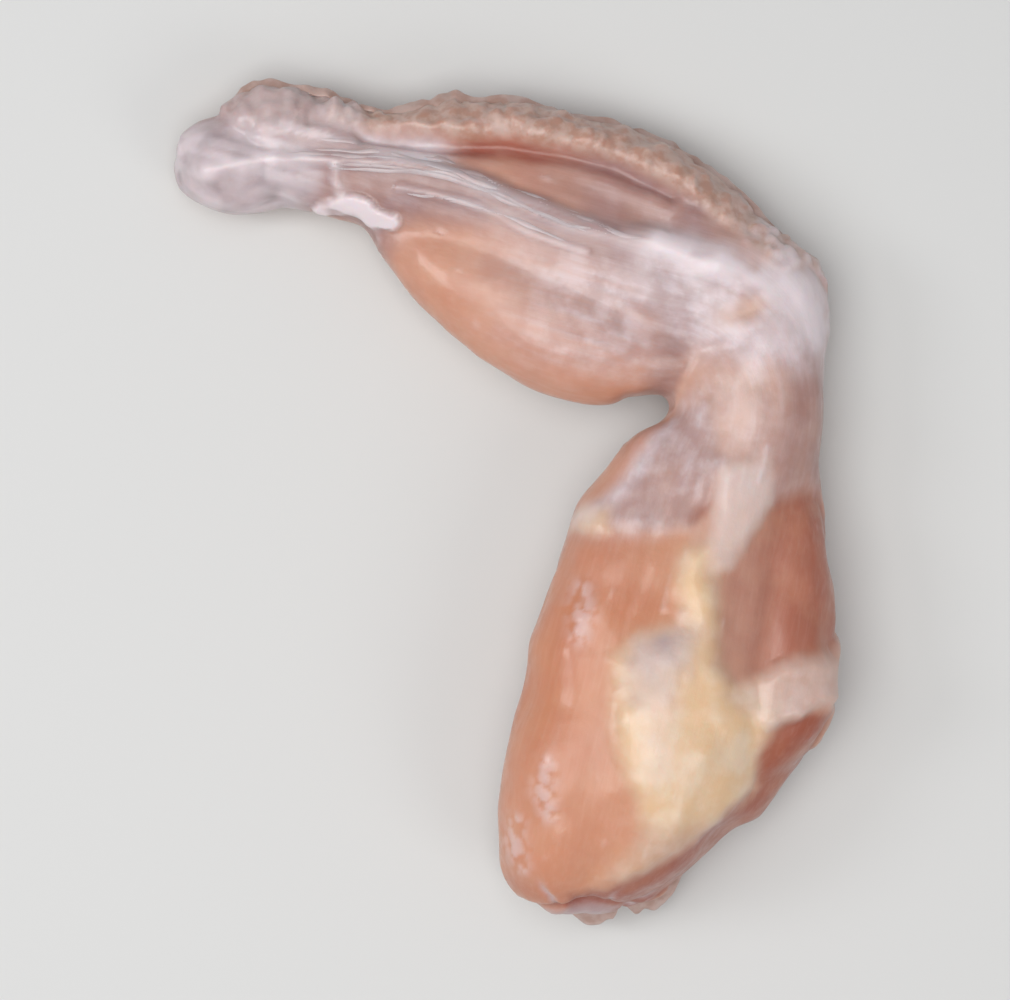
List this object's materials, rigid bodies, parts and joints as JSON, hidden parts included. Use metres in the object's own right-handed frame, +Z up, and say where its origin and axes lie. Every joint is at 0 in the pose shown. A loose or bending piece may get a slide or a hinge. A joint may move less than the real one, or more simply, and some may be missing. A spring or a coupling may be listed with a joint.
{
  "type": "chicken wing",
  "caption": "Raw skinless chicken wing without its tip, flat and drumette bent to a right angle at the elbow, lying on its side.",
  "frame": {"origin": "centre of the wing's outline seen from above, on the surface that the wing lies on", "axes": "+Z up; +Y from the cut shoulder end towards the elbow's side; +X from the wrist towards the elbow"},
  "size_m": [0.0904, 0.1131, 0.0266],
  "materials": {
    "raw_meat": "moist"
  },
  "bodies": {
    "root": {"wing": "raw_meat"}
  },
  "joints": []
}
